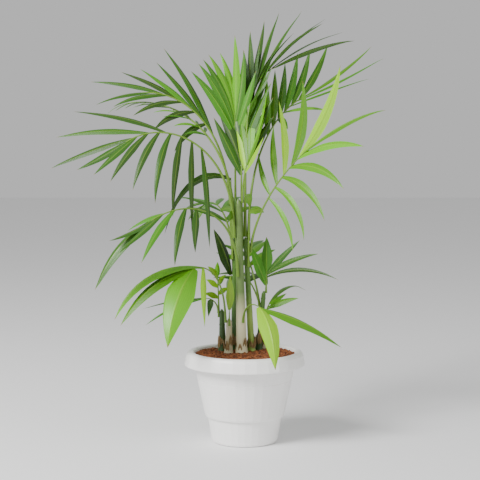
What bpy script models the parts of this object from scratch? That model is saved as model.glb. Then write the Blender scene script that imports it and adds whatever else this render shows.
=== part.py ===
"""Potted areca palm: a white skirted pot, its soil, a clump of canes and their fronds.

Metres, +Z up. The origin is the middle of the pot's flat underside, and the plant is
seen from -Y with +X to the right. Every cane leans and tapers by its own named sizes,
and every frond grows by one rule: a rachis that climbs, arches over and dips, with a
rank of leaflets along each of its sides.
"""
import math
import random
from dataclasses import dataclass, replace
from typing import Optional

import bmesh
import bpy
from mathutils import Quaternion, Vector
from mathutils.bvhtree import BVHTree

# Clearance between pieces that touch
GAP = 0.0003

# Pot, outer radii and heights
POT_FOOT_R = 0.0397
POT_BASE_R = 0.0432
POT_STEP_Z = 0.0330
POT_STEP_R = 0.0480
POT_BODY_R = 0.0520
POT_BAND_Z = 0.0820
POT_BAND_R = 0.0615
POT_NECK_Z = 0.0960
POT_NECK_R = 0.0642
POT_SKIRT_Z = 0.1000
POT_SKIRT_R = 0.0780
POT_TOP_Z = 0.1180
POT_MOUTH_R = 0.0656
POT_WALL = 0.0019
POT_FLOOR = 0.0026
POT_SEGMENTS = 32
DRAIN_R = 0.0040
DRAIN_RING_R = 0.0260
DRAIN_COUNT = 4

# Soil, filled to just under the mouth
SOIL_Z = 0.1135

# Canes
CANE_SIDES = 10
CANE_RINGS = 5
CANE_FLARE = 0.0014
CANE_FLARE_REACH = 0.0060

# Fronds
RACHIS_STEPS = 48
RIB_SIDES = 5
RIB_RINGS = 7
RIB_THICK_MIN = 0.0013
RIB_THICK_MAX = 0.0022
STALK_MIN = 0.070
SPLIT_BELOW = 0.03
LEAF_STEPS = 12
LEAF_RINGS = (0, 4, 8)
BENT_RINGS = (0, 3, 6, 9)
BENT_FROM = 60.0
LEAF_WIDEST = 0.35
LEAF_FOOT = 0.30
LEAF_THICK = 0.011
LEAF_THICK_MIN = 0.0011
CLEAR = 0.0006
TURNS = (0, 7, -7, 14, -14, 22, -22, 30, -30)
ROOT_TURNS = (0, 10, -10, 20, -20, 30, -30, 42, -42, 56, -56)

DOWN = Vector((0.0, 0.0, -1.0))
UP = Vector((0.0, 0.0, 1.0))


@dataclass(frozen=True)
class Cane:
    """A stem of the clump, from a flat cut on the soil to its tip."""

    name: str
    foot: tuple
    height: float
    lean: float
    towards: float
    foot_radius: float
    tip_radius: float
    color: tuple

    def centre(self, height: float) -> Vector:
        """Middle of the cane at a height above the soil."""
        out = height * math.tan(math.radians(self.lean))
        turn = math.radians(self.towards)
        return Vector((self.foot[0] + out * math.cos(turn),
                       self.foot[1] + out * math.sin(turn),
                       SOIL_Z + GAP + height))

    def radius(self, height: float) -> float:
        """Radius at a height, with the flare at the root."""
        share = min(1.0, max(0.0, height / self.height))
        flare = CANE_FLARE * math.exp(-height / CANE_FLARE_REACH)
        return self.foot_radius + (self.tip_radius - self.foot_radius) * share + flare


@dataclass(frozen=True)
class Rank:
    """Leaflets along one side of a rachis; each pair is for the first and the last.

    span is where they stand along the rachis, splay their angle from it, lift their
    angle above the frond's plane, and bend how far they turn down by their tips.
    """

    count: int
    span: tuple
    length: tuple
    splay: tuple
    lift: tuple = (0, 0)
    bend: tuple = (30, 30)
    width: tuple = (0.0095, 0.0095)
    bulge: float = 0.0


@dataclass(frozen=True)
class Frond:
    """One frond: where it leaves its cane, how its rachis arches, and its two ranks.

    heading is a compass angle from +X towards +Y, climb and dip are the rachis's
    slopes at its root and tip, hook is above 1 where it arches late, sweep turns it
    sideways along its length and roll tips its plane.
    """

    name: str
    cane: str
    leaves_at: float
    heading: float
    climb: float
    dip: float
    hook: float
    length: float
    sweep: float
    roll: float
    left: Optional[Rank]
    right: Optional[Rank]
    color: tuple

    @property
    def thick(self) -> float:
        """Radius of the stalk at its root."""
        return min(RIB_THICK_MAX, max(RIB_THICK_MIN, 0.0012 + 0.004 * self.length))

    @property
    def bare(self) -> float:
        """Share of the rachis below its first leaflet."""
        ranks = [rank for rank in (self.left, self.right) if rank]
        return min(rank.span[0] for rank in ranks)

    @property
    def split(self) -> float:
        """Share of the rachis that is a piece of its own, the bare stalk."""
        if self.bare * self.length < STALK_MIN:
            return 0.0
        return self.bare - SPLIT_BELOW

    def slope(self, share: float) -> tuple:
        """Elevation and heading of the rachis at a share of its length, in radians."""
        rise = self.climb + (self.dip - self.climb) * share ** self.hook
        return math.radians(rise), math.radians(self.heading + self.sweep * share)

    def frame(self, share: float) -> tuple:
        """Along, sideways and upper directions of the frond at a share of its length."""
        rise, turn = self.slope(share)
        along = Vector((math.cos(rise) * math.cos(turn),
                        math.cos(rise) * math.sin(turn), math.sin(rise)))
        side = Vector((-math.sin(turn), math.cos(turn), 0.0))
        roll = Quaternion(along, math.radians(self.roll))
        return along, roll @ side, roll @ along.cross(side)

    def path(self, root: Vector) -> list:
        """Points along the rachis from its root to its tip."""
        points = [root.copy()]
        step = self.length / RACHIS_STEPS
        for index in range(RACHIS_STEPS):
            rise, turn = self.slope((index + 0.5) / RACHIS_STEPS)
            points.append(points[-1] + Vector((math.cos(rise) * math.cos(turn),
                                               math.cos(rise) * math.sin(turn),
                                               math.sin(rise))) * step)
        return points


@dataclass(frozen=True)
class Leaflet:
    """One leaflet: its root, the way it sets out, its blade's sideways direction."""

    root: Vector
    out: Vector
    side: Vector
    length: float
    width: float
    bend: float
    twist: float

    def stations(self) -> list:
        """Centre, forward and sideways directions at even steps along the leaflet."""
        axis = self.out.cross(DOWN)
        axis = axis.normalized() if axis.length > 1e-6 else Vector((1.0, 0.0, 0.0))
        room = max(0.0, math.degrees(self.out.angle(DOWN)) - 3.0)
        total = math.radians(min(self.bend, room))
        centre = self.root.copy()
        found = []
        for index in range(LEAF_STEPS + 1):
            share = index / LEAF_STEPS
            turned = Quaternion(axis, total * share)
            along = turned @ self.out
            side = Quaternion(along, math.radians(self.twist * share)) @ (turned @ self.side)
            found.append((centre.copy(), along, side))
            half = Quaternion(axis, total * (share + 0.5 / LEAF_STEPS))
            centre += (half @ self.out) * (self.length / LEAF_STEPS)
        return found


def blend(pair: tuple, share: float) -> float:
    """Value at a share of the way between a first and a last value."""
    return pair[0] + (pair[1] - pair[0]) * share


def point_at(path: list, share: float) -> Vector:
    """Point at a share of the way along a path of even steps."""
    place = min(max(share, 0.0), 1.0) * (len(path) - 1)
    index = min(int(place), len(path) - 2)
    return path[index].lerp(path[index + 1], place - index)


def leaf_width(share: float) -> float:
    """Share of a leaflet's full width at a share of its length."""
    if share < LEAF_WIDEST:
        return LEAF_FOOT + (1.0 - LEAF_FOOT) * (share / LEAF_WIDEST) ** 0.8
    return max(0.0, 1.0 - ((share - LEAF_WIDEST) / (1.0 - LEAF_WIDEST)) ** 1.8)


def grow_leaflet(frond: Frond, path: list, rank: Rank, side: int, index: int,
                 turn: float = 0.0) -> Leaflet:
    """Leaflet of a rank, lifted by a further turn where it has to clear a neighbour."""
    share = index / (rank.count - 1) if rank.count > 1 else 0.0
    chance = random.Random(f"{frond.name} {side} {index}")
    place = min(blend(rank.span, share), 1.0 - 0.002 / frond.length)
    along, sideways, upper = frond.frame(place)
    splay = math.radians(blend(rank.splay, share) + chance.uniform(-2.0, 2.0))
    lift = math.radians(blend(rank.lift, share) + turn)
    outward = sideways * (side * math.cos(lift)) + upper * math.sin(lift)
    normal = upper * math.cos(lift) - sideways * (side * math.sin(lift))
    out = (along * math.cos(splay) + outward * math.sin(splay)).normalized()
    length = blend(rank.length, share) + rank.bulge * 4.0 * share * (1.0 - share)
    return Leaflet(root=point_at(path, place), out=out, side=normal.cross(out),
                   length=length * chance.uniform(0.97, 1.03),
                   width=blend(rank.width, share),
                   bend=blend(rank.bend, share) + chance.uniform(-3.0, 3.0),
                   twist=chance.uniform(-12.0, 12.0))


# Canes: foot on the soil, height, lean and its heading, radii at foot and tip
CREAM = (0.72, 0.66, 0.42)
GREEN_CANE = (0.24, 0.36, 0.06)
DARK_CANE = (0.05, 0.12, 0.02)
CANES = (
    Cane("cane_main", (-0.004, 0.012), 0.200, 1.2, 180, 0.0072, 0.0034, CREAM),
    Cane("cane_right", (0.009, 0.022), 0.150, 3.0, 180, 0.0045, 0.0030, GREEN_CANE),
    Cane("cane_back", (-0.014, 0.036), 0.200, 0.8, 0, 0.0045, 0.0026, DARK_CANE),
    Cane("shoot_left", (-0.029, 0.026), 0.055, 1.0, 180, 0.0050, 0.0030, DARK_CANE),
    Cane("shoot_pale", (-0.021, 0.010), 0.045, 1.0, 0, 0.0050, 0.0035, CREAM),
    Cane("shoot_right", (0.0185, 0.033), 0.078, 5.0, 0, 0.0042, 0.0028, DARK_CANE),
    Cane("shoot_far", (0.024, 0.046), 0.048, 3.0, 0, 0.0042, 0.0028, CREAM),
)

# Fronds, from the left of the crown round to the right, then low and behind
DEEP = (0.020, 0.080, 0.010)
MID = (0.050, 0.160, 0.020)
FRESH = (0.160, 0.360, 0.030)
LIME = (0.330, 0.520, 0.040)
STALK = (0.260, 0.360, 0.070)
FRONDS = (
    Frond("left_arch", "cane_main", 0.150, 202, 89, -33, 1.5, 0.233, -9, -26,
          Rank(8, (0.55, 1.00), (0.135, 0.072), (118, 3), (-21, -23), (95, -9), bulge=-0.008),
          Rank(3, (0.77, 0.96), (0.123, 0.109), (26, 18), (19, 14), (21, 14), (0.010, 0.010)),
          DEEP),
    Frond("left_crest", "cane_back", 0.150, 171, 89, -7, 2.0, 0.251, 12, -29,
          Rank(5, (0.61, 0.95), (0.072, 0.074), (72, 4), (-9, -3), (48, 25)),
          Rank(5, (0.54, 0.88), (0.136, 0.098), (8, 8), (20, 21), (16, 19), (0.010, 0.008),
               bulge=-0.030),
          DEEP),
    Frond("left_far", "cane_main", 0.165, 158, 89, -11, 1.35, 0.250, 8, 0,
          Rank(9, (0.50, 0.98), (0.050, 0.034), (60, 20), (0, 0), (40, 36), (0.0060, 0.0050)),
          Rank(9, (0.52, 0.97), (0.046, 0.032), (64, 24), (6, 0), (34, 30), (0.0060, 0.0050)),
          MID),
    Frond("left_mid", "cane_main", 0.100, 248, 89, -33, 1.05, 0.193, -50, -20,
          Rank(5, (0.66, 1.00), (0.062, 0.060), (68, 4), (-26, 0), (70, -20), (0.0105, 0.0090),
               bulge=0.030),
          Rank(2, (0.90, 1.00), (0.050, 0.113), (25, 3), (0, 0), (30, 37), (0.012, 0.020)),
          DEEP),
    Frond("left_strap", "cane_back", 0.120, 228, 89, 88, 2.0, 0.107, -32, -28,
          Rank(1, (0.99, 0.99), (0.164, 0.164), (67, 67), (-28, -28), (96, 96), (0.010, 0.010)),
          None, DEEP),
    Frond("left_broad", "shoot_pale", 0.040, 220, 87, -17, 1.95, 0.108, 5, -18,
          Rank(2, (0.83, 1.00), (0.083, 0.123), (70, 23), (-34, -15), (47, 54), (0.011, 0.036)),
          Rank(2, (0.86, 1.00), (0.143, 0.122), (22, 19), (-9, -2), (81, 55), (0.027, 0.020)),
          FRESH),
    Frond("left_low", "shoot_left", 0.050, 203, 89, -12, 1.25, 0.033, -4, 2,
          Rank(2, (0.62, 0.99), (0.049, 0.092), (64, 4), (-10, -5), (52, 29), (0.009, 0.012)),
          Rank(2, (0.84, 0.99), (0.047, 0.081), (37, 20), (0, 13), (54, 17), (0.009, 0.009)),
          DEEP),
    Frond("left_tuft", "shoot_left", 0.044, 140, 89, 85, 1.1, 0.055, -5, -10,
          Rank(3, (0.46, 0.97), (0.023, 0.020), (59, 33), (0, 0), (20, 26), (0.008, 0.008)),
          Rank(3, (0.55, 0.96), (0.019, 0.021), (61, 5), (1, 6), (19, 42), (0.008, 0.008)),
          LIME),
    Frond("spear", "shoot_pale", 0.036, -86, 88, 88, 1.0, 0.023, 0, 0,
          Rank(1, (0.99, 0.99), (0.045, 0.045), (2, 2), (0, 0), (-5, -5), (0.011, 0.011)),
          None, LIME),
    Frond("paddle", "cane_back", 0.076, 144, 89, 88, 1.0, 0.025, 0, 0,
          Rank(1, (0.98, 0.98), (0.072, 0.072), (22, 22), (-2, -2), (17, 17), (0.019, 0.019)),
          None, DEEP),
    Frond("right_arch", "cane_right", 0.130, -14, 88, 40, 0.7, 0.159, -15, 46,
          Rank(5, (0.51, 0.92), (0.061, 0.130), (74, 7), (23, 39), (-38, -29),
               (0.0085, 0.0155)),
          Rank(6, (0.48, 1.00), (0.080, 0.127), (92, 4), (-30, 15), (85, 30),
               (0.0070, 0.0155)),
          FRESH),
    Frond("right_far", "cane_right", 0.145, 49, 89, 25, 1.55, 0.221, -18, 6,
          Rank(6, (0.65, 0.97), (0.078, 0.101), (27, 20), (35, 35), (-31, -24),
               (0.0105, 0.0105), bulge=-0.007),
          Rank(5, (0.77, 1.00), (0.044, 0.129), (100, 3), (21, -10), (37, -17),
               (0.009, 0.008), bulge=0.030),
          MID),
    Frond("right_crest", "cane_right", 0.150, 96, 89, 13, 3.9, 0.246, -60, -30,
          Rank(7, (0.64, 0.93), (0.098, 0.161), (14, 3), (24, 13), (8, 19), (0.0130, 0.0110),
               bulge=0.011),
          Rank(5, (0.60, 0.99), (0.072, 0.127), (12, 17), (30, 21), (37, 24), (0.010, 0.010)),
          DEEP),
    Frond("top_fan", "cane_back", 0.190, 99, 88, 86, 1.5, 0.122, -6, 0,
          Rank(5, (0.74, 0.99), (0.108, 0.086), (26, 3), (23, 24), (26, 30), (0.0140, 0.0120)),
          Rank(4, (0.66, 0.97), (0.075, 0.105), (30, 3), (24, 25), (-5, -10),
               (0.0125, 0.0115)),
          MID),
    Frond("top_core", "cane_right", 0.138, 150, 89, 76, 1.4, 0.150, -110, 0,
          Rank(5, (0.62, 0.97), (0.085, 0.122), (26, 5), (8, 12), (4, 12), (0.013, 0.013)),
          Rank(5, (0.66, 0.99), (0.080, 0.118), (30, 4), (10, 12), (4, 14), (0.013, 0.013)),
          DEEP),
    Frond("top_inner", "cane_main", 0.195, 24, 89, 65, 1.4, 0.070, 0, 6,
          Rank(4, (0.60, 0.97), (0.060, 0.070), (30, 24), (17, 18), (6, -3), (0.011, 0.011),
               bulge=0.008),
          Rank(4, (0.56, 0.99), (0.060, 0.088), (40, 3), (8, 20), (2, -20), (0.011, 0.011)),
          FRESH),
    Frond("right_mid", "shoot_right", 0.075, 46, 89, 84, 1.15, 0.028, 4, 7,
          Rank(2, (0.38, 0.94), (0.054, 0.048), (23, 3), (11, 10), (1, 6), (0.016, 0.016)),
          Rank(3, (0.75, 0.98), (0.113, 0.063), (62, 41), (1, -7), (47, 8), (0.006, 0.009),
               bulge=-0.007),
          DEEP),
    Frond("right_low", "shoot_far", 0.042, 56, 89, 27, 1.4, 0.020, -4, 4,
          Rank(1, (0.90, 0.90), (0.103, 0.103), (3, 3), (10, 10), (63, 63), (0.008, 0.008)),
          Rank(2, (0.55, 0.92), (0.046, 0.029), (53, 22), (-3, 0), (20, 10), (0.010, 0.010)),
          MID),
    Frond("front_broad", "cane_main", 0.040, -71, 89, -26, 0.8, 0.066, 14, 0,
          Rank(1, (0.99, 0.99), (0.112, 0.112), (52, 52), (0, 0), (27, 27), (0.024, 0.024)),
          Rank(1, (0.92, 0.92), (0.097, 0.097), (11, 11), (-2, -2), (67, 67), (0.026, 0.026)),
          FRESH),
    Frond("curl_right", "cane_right", 0.112, -70, 89, 86, 1.2, 0.083, 7, 6,
          Rank(1, (0.85, 0.85), (0.024, 0.024), (55, 55), (0, 0), (71, 71), (0.011, 0.011)),
          Rank(1, (0.96, 0.96), (0.027, 0.027), (4, 4), (-6, -6), (102, 102), (0.012, 0.012)),
          FRESH),
    Frond("curl_left", "cane_main", 0.110, 180, 89, 85, 1.25, 0.075, 7, 0,
          Rank(1, (0.93, 0.93), (0.038, 0.038), (77, 77), (-16, -16), (56, 56), (0.011, 0.011)),
          Rank(1, (0.96, 0.96), (0.050, 0.050), (65, 65), (-17, -17), (53, 53), (0.010, 0.010)),
          MID),
    Frond("back_left", "cane_back", 0.100, 108, 86, -20, 1.3, 0.155, 8, 0,
          Rank(5, (0.48, 0.98), (0.062, 0.055), (52, 8), (15, 10), (35, 25), (0.011, 0.010),
               bulge=0.010),
          Rank(5, (0.50, 0.99), (0.062, 0.055), (52, 8), (15, 10), (35, 25), (0.011, 0.010),
               bulge=0.010),
          MID),
    Frond("back_low", "shoot_far", 0.044, 132, 76, -12, 1.1, 0.095, -30, 0,
          Rank(3, (0.55, 0.98), (0.052, 0.062), (50, 10), (10, 5), (40, 30), (0.014, 0.017)),
          Rank(3, (0.58, 0.96), (0.052, 0.060), (50, 12), (10, 5), (40, 30), (0.014, 0.017)),
          DEEP),
    Frond("back_right", "shoot_right", 0.058, 140, 82, 5, 1.2, 0.110, -60, 0,
          Rank(4, (0.50, 0.98), (0.050, 0.058), (50, 8), (12, 5), (30, 25), (0.012, 0.013)),
          Rank(4, (0.53, 0.96), (0.050, 0.058), (50, 10), (12, 5), (30, 25), (0.012, 0.013)),
          MID),
)


def clear_scene() -> None:
    """Remove whatever the file opened with."""
    for item in list(bpy.data.objects):
        bpy.data.objects.remove(item, do_unlink=True)


def make_material(name: str, color: tuple, roughness: float) -> bpy.types.Material:
    """Principled material with one plain colour."""
    material = bpy.data.materials.new(name)
    material.use_nodes = True
    shader = material.node_tree.nodes["Principled BSDF"]
    shader.inputs["Base Color"].default_value = (*color, 1.0)
    shader.inputs["Roughness"].default_value = roughness
    shader.inputs["Metallic"].default_value = 0.0
    return material


def make_object(name: str, points: list, faces: list) -> bpy.types.Object:
    """Object from points and faces, linked to the scene."""
    mesh = bpy.data.meshes.new(name)
    mesh.from_pydata([tuple(point) for point in points], [], faces)
    item = bpy.data.objects.new(name, mesh)
    bpy.context.scene.collection.objects.link(item)
    return item


def finish(item: bpy.types.Object, color: tuple, roughness: float, sharp: float) -> None:
    """Material and smooth shading, with creases sharper than an angle kept."""
    item.data.materials.clear()
    item.data.materials.append(make_material(item.name, color, roughness))
    item.data.shade_smooth()
    item.data.set_sharp_from_angle(angle=math.radians(sharp))


def turn_profile(name: str, profile: list, segments: int) -> bpy.types.Object:
    """Solid of revolution about Z from a profile that starts and ends on the axis."""
    work = bmesh.new()
    corners = [work.verts.new((radius, 0.0, height)) for radius, height in profile]
    edges = [work.edges.new(pair) for pair in zip(corners, corners[1:])]
    bmesh.ops.spin(work, geom=corners + edges, axis=UP, cent=(0.0, 0.0, 0.0),
                   angle=math.tau, steps=segments, use_merge=True)
    bmesh.ops.remove_doubles(work, verts=work.verts, dist=1e-6)
    bmesh.ops.dissolve_degenerate(work, edges=work.edges, dist=1e-7)
    bmesh.ops.recalc_face_normals(work, faces=work.faces)
    mesh = bpy.data.meshes.new(name)
    work.to_mesh(mesh)
    work.free()
    item = bpy.data.objects.new(name, mesh)
    bpy.context.scene.collection.objects.link(item)
    return item


def outer_profile() -> list:
    """Pot outside, from the middle of the underside up and over the rolled skirt."""
    return [
        (0.0, 0.0),
        (POT_FOOT_R, 0.0),
        (POT_FOOT_R + 0.0023, 0.0009),
        (POT_BASE_R, 0.0036),
        (POT_STEP_R, POT_STEP_Z),
        (POT_BODY_R - 0.0010, POT_STEP_Z + 0.0012),
        (POT_BODY_R, POT_STEP_Z + 0.0034),
        (POT_BAND_R, POT_BAND_Z - 0.0006),
        (POT_BAND_R - 0.0004, POT_BAND_Z),
        (POT_BAND_R + 0.0003, POT_BAND_Z + 0.0008),
        (POT_NECK_R, POT_NECK_Z),
        (POT_NECK_R + 0.0006, POT_NECK_Z + 0.0135),
        (POT_NECK_R + 0.0020, POT_NECK_Z + 0.0165),
        (POT_SKIRT_R - 0.0046, POT_NECK_Z + 0.0165),
        (POT_SKIRT_R - 0.0023, POT_SKIRT_Z + 0.0006),
        (POT_SKIRT_R - 0.0013, POT_SKIRT_Z),
        (POT_SKIRT_R, POT_SKIRT_Z + 0.0008),
        (POT_SKIRT_R, POT_SKIRT_Z + 0.0024),
        (POT_SKIRT_R - 0.0022, POT_TOP_Z - 0.0042),
        (POT_SKIRT_R - 0.0038, POT_TOP_Z - 0.0016),
        (POT_SKIRT_R - 0.0060, POT_TOP_Z - 0.0003),
        (POT_SKIRT_R - 0.0082, POT_TOP_Z),
        (POT_MOUTH_R + 0.0016, POT_TOP_Z - 0.0002),
        (POT_MOUTH_R, POT_TOP_Z - 0.0014),
    ]


def inner_profile(inset: float) -> list:
    """Pot inside from the mouth down, drawn in by an inset for what fills it."""
    return [
        (POT_NECK_R - 0.0010 - inset, POT_NECK_Z + 0.0120),
        (POT_NECK_R - POT_WALL - inset, POT_NECK_Z),
        (POT_BAND_R - POT_WALL - inset, POT_BAND_Z),
        (POT_BODY_R - POT_WALL - inset, POT_STEP_Z + 0.0046),
        (POT_STEP_R - POT_WALL - inset, POT_STEP_Z + 0.0012),
        (POT_BASE_R - POT_WALL - inset, 0.0056 + inset),
        (POT_FOOT_R - POT_WALL - inset, POT_FLOOR + inset),
        (0.0, POT_FLOOR + inset),
    ]


def build_pot() -> bpy.types.Object:
    """Skirted pot with a stepped foot and round drain holes off the middle."""
    pot = turn_profile("pot", outer_profile() + inner_profile(0.0), POT_SEGMENTS)
    for index in range(DRAIN_COUNT):
        turn = math.tau * (index + 0.5) / DRAIN_COUNT
        bpy.ops.mesh.primitive_cylinder_add(
            vertices=12, radius=DRAIN_R, depth=0.02,
            location=(DRAIN_RING_R * math.cos(turn), DRAIN_RING_R * math.sin(turn), 0.0))
        drill = bpy.context.object
        drill.name = f"drill_{index}"
        cut = pot.modifiers.new(f"drain_{index}", "BOOLEAN")
        cut.operation = "DIFFERENCE"
        cut.solver = "EXACT"
        cut.object = drill
    apply_modifiers(pot)
    for item in [o for o in bpy.data.objects if o.name.startswith("drill_")]:
        bpy.data.objects.remove(item, do_unlink=True)
    finish(pot, (0.80, 0.77, 0.72), 0.32, 35.0)
    return pot


def build_soil() -> bpy.types.Object:
    """Soil that fills the pot, level on top."""
    inside = inner_profile(GAP)
    top, neck = SOIL_Z, inside[0]
    mouth = (POT_MOUTH_R - GAP, POT_TOP_Z - 0.0014)
    share = (top - neck[1]) / (mouth[1] - neck[1])
    edge = neck[0] + (mouth[0] - neck[0]) * share - GAP
    soil = turn_profile("soil", [(0.0, top), (edge, top)] + inside, POT_SEGMENTS)
    finish(soil, (0.115, 0.038, 0.014), 0.95, 35.0)
    return soil


def build_cane(cane: Cane) -> bpy.types.Object:
    """Tapering cane with level rings, a flared flat foot and a blunt tip."""
    heights = [cane.height * (ring / CANE_RINGS) ** 1.6 for ring in range(CANE_RINGS + 1)]
    rings = [(height, cane.radius(height)) for height in heights]
    rings.append((cane.height + cane.tip_radius * 1.2, cane.tip_radius * 0.3))
    points, faces = [], []
    for height, radius in rings:
        middle = cane.centre(height)
        for side in range(CANE_SIDES):
            turn = math.tau * side / CANE_SIDES
            points.append(middle + Vector((math.cos(turn), math.sin(turn), 0.0)) * radius)
    faces.append(tuple(reversed(range(CANE_SIDES))))
    faces.extend(skin(len(rings), CANE_SIDES))
    faces.append(tuple(range(len(points) - CANE_SIDES, len(points))))
    item = make_object(cane.name, points, faces)
    finish(item, cane.color, 0.45, 40.0)
    return item


def skin(rings: int, sides: int) -> list:
    """Triangles between neighbouring rings of points."""
    faces = []
    for ring in range(rings - 1):
        low, high = ring * sides, (ring + 1) * sides
        for side in range(sides):
            after = (side + 1) % sides
            faces.append((low + side, low + after, high + after))
            faces.append((low + side, high + after, high + side))
    return faces


def rib_shape(frond: Frond, path: list, start: float, end: float,
              extra: float = 0.0) -> tuple:
    """Points and faces of the rachis between two shares of its length."""
    points, faces = [], []
    for ring in range(RIB_RINGS):
        share = start + (end - start) * ring / (RIB_RINGS - 1)
        along, side, upper = frond.frame(share)
        radius = frond.thick * (1.0 - 0.6 * share) + extra
        middle = point_at(path, share)
        for corner in range(RIB_SIDES):
            turn = math.tau * (corner + 0.5) / RIB_SIDES
            points.append(middle + (side * math.cos(turn) + upper * math.sin(turn)) * radius)
    faces.append(tuple(reversed(range(RIB_SIDES))))
    faces.extend(skin(RIB_RINGS, RIB_SIDES))
    faces.append(tuple(range(len(points) - RIB_SIDES, len(points))))
    return points, faces


def leaf_shape(leaflet: Leaflet, extra: float = 0.0) -> tuple:
    """Points and faces of a leaflet, a blade with a ridge along its upper face.

    The extra makes it larger all round, for finding what lies too near it.
    """
    stations = leaflet.stations()
    rings = BENT_RINGS if leaflet.bend > BENT_FROM else LEAF_RINGS
    thick = max(LEAF_THICK_MIN, LEAF_THICK * leaflet.length)
    points, faces = [], []
    for index in rings:
        centre, along, side = stations[index]
        share = index / LEAF_STEPS
        half = 0.5 * leaflet.width * leaf_width(share) + extra
        ridge = thick * (1.0 - 0.2 * share) + extra
        upper = along.cross(side)
        if index == 0:
            centre = centre - along * 0.0006
        centre = centre - upper * extra
        points += [centre + side * half, centre + upper * ridge, centre - side * half]
    tip, along, _ = stations[-1]
    points.append(tip + along * extra)
    faces.append((2, 1, 0))
    faces.extend(skin(len(rings), 3))
    last = (len(rings) - 1) * 3
    faces.extend((last + side, last + (side + 1) % 3, last + 3) for side in range(3))
    return points, faces


def root_of(frond: Frond, cane: Cane) -> Vector:
    """Middle of a stalk's root, beside its cane and the gap clear of it."""
    turn = math.radians(frond.heading)
    reach = cane.radius(frond.leaves_at) + frond.thick + GAP
    return cane.centre(frond.leaves_at) + Vector((math.cos(turn), math.sin(turn), 0.0)) * reach


def apply_modifiers(item: bpy.types.Object) -> None:
    """Turn what an object's modifiers make into its own mesh."""
    graph = bpy.context.evaluated_depsgraph_get()
    mesh = bpy.data.meshes.new_from_object(item.evaluated_get(graph))
    item.modifiers.clear()
    item.data = mesh


def is_closed(mesh: bpy.types.Mesh) -> bool:
    """Whether every edge of a mesh joins two faces and its solid is the right way out."""
    work = bmesh.new()
    work.from_mesh(mesh)
    closed = bool(work.faces) and all(edge.is_manifold for edge in work.edges)
    volume = work.calc_volume(signed=True)
    work.free()
    return closed and volume > 0.0


def keep_largest(mesh: bpy.types.Mesh) -> None:
    """Drop any loose scrap beside the main body."""
    work = bmesh.new()
    work.from_mesh(mesh)
    left = set(work.faces)
    bodies = []
    while left:
        body, edge_of = set(), [left.pop()]
        while edge_of:
            face = edge_of.pop()
            body.add(face)
            near = {other for edge in face.edges for other in edge.link_faces} & left
            left -= near
            edge_of.extend(near)
        bodies.append(body)
    bodies.sort(key=len, reverse=True)
    scraps = [face for body in bodies[1:] for face in body]
    if scraps:
        bmesh.ops.delete(work, geom=scraps, context="FACES")
        work.to_mesh(mesh)
    work.free()


def join_blades(rib: bpy.types.Object, blades: list) -> None:
    """Fuse a frond's leaflets to its rib with one union, then remove them."""
    group = bpy.data.collections.new(f"{rib.name}_leaflets")
    bpy.context.scene.collection.children.link(group)
    for number, (points, faces) in enumerate(blades):
        blade = make_object(f"{rib.name}_leaflet_{number}", points, faces)
        bpy.context.scene.collection.objects.unlink(blade)
        group.objects.link(blade)
    plain = rib.data
    for solver in ("EXACT", "MANIFOLD"):
        rib.data = plain
        union = rib.modifiers.new("leaflets", "BOOLEAN")
        union.operation = "UNION"
        union.operand_type = "COLLECTION"
        union.collection = group
        union.solver = solver
        apply_modifiers(rib)
        keep_largest(rib.data)
        if is_closed(rib.data):
            break
    for blade in list(group.objects):
        bpy.data.objects.remove(blade, do_unlink=True)
    bpy.data.collections.remove(group)


def tree_of(item: bpy.types.Object) -> BVHTree:
    """Search tree of an object's faces."""
    mesh = item.data
    return BVHTree.FromPolygons([vertex.co for vertex in mesh.vertices],
                                [tuple(face.vertices) for face in mesh.polygons])


def clear_blade(frond: Frond, path: list, rank: Rank, side: int, index: int,
                others: list) -> Optional[tuple]:
    """Shape of a leaflet that touches none of the others, or None if every turn does."""
    for turn in TURNS:
        leaflet = grow_leaflet(frond, path, rank, side, index, turn)
        points, faces = leaf_shape(leaflet, CLEAR)
        probe = BVHTree.FromPolygons(points, faces)
        if not any(probe.overlap(other) for other in others):
            return leaf_shape(leaflet)
    return None


def set_out(frond: Frond, cane: Cane, others: list) -> Optional[Frond]:
    """The frond, its root turned round the cane where its rachis would touch another.

    The turn is given back along the rachis, so that its tip keeps its direction.
    """
    for turn in ROOT_TURNS:
        turned = replace(frond, heading=frond.heading + turn, sweep=frond.sweep - turn)
        path = turned.path(root_of(turned, cane))
        probe = BVHTree.FromPolygons(*rib_shape(turned, path, 0.01, 1.0, GAP * 0.8))
        if not any(probe.overlap(other) for other in others):
            return turned
    return None


def build_ribs(canes: dict) -> dict:
    """Stalks and ribs of every frond, before any leaflet; each frond with its path."""
    ribs = {}
    others = [tree_of(item) for item in bpy.data.objects if item.type == "MESH"]
    for plan in FRONDS:
        frond = set_out(plan, canes[plan.cane], others)
        if frond is None:
            print("no room for", plan.name)
            continue
        path = frond.path(root_of(frond, canes[frond.cane]))
        split = frond.split
        if split:
            shape = rib_shape(frond, path, 0.0, split - GAP / frond.length)
            stalk = make_object(f"stalk_{frond.name}", *shape)
            finish(stalk, STALK, 0.5, 50.0)
            others.append(tree_of(stalk))
        rib = make_object(f"frond_{frond.name}", *rib_shape(frond, path, split, 1.0))
        others.append(tree_of(rib))
        ribs[frond.name] = (frond, rib, path)
    return ribs


def build_fronds(canes: dict) -> None:
    """Leaflets of every frond, each clear of all other pieces, fused to its rib."""
    ribs = build_ribs(canes)
    trees = {item.name: tree_of(item) for item in bpy.data.objects if item.type == "MESH"}
    for frond, rib, path in ribs.values():
        others = [tree for name, tree in trees.items() if name != rib.name]
        blades = []
        for rank, side in ((frond.left, 1), (frond.right, -1)):
            for index in range(rank.count if rank else 0):
                shape = clear_blade(frond, path, rank, side, index, others)
                if shape:
                    blades.append(shape)
        join_blades(rib, blades)
        finish(rib, frond.color, 0.42, 30.0)
        trees[rib.name] = tree_of(rib)


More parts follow.
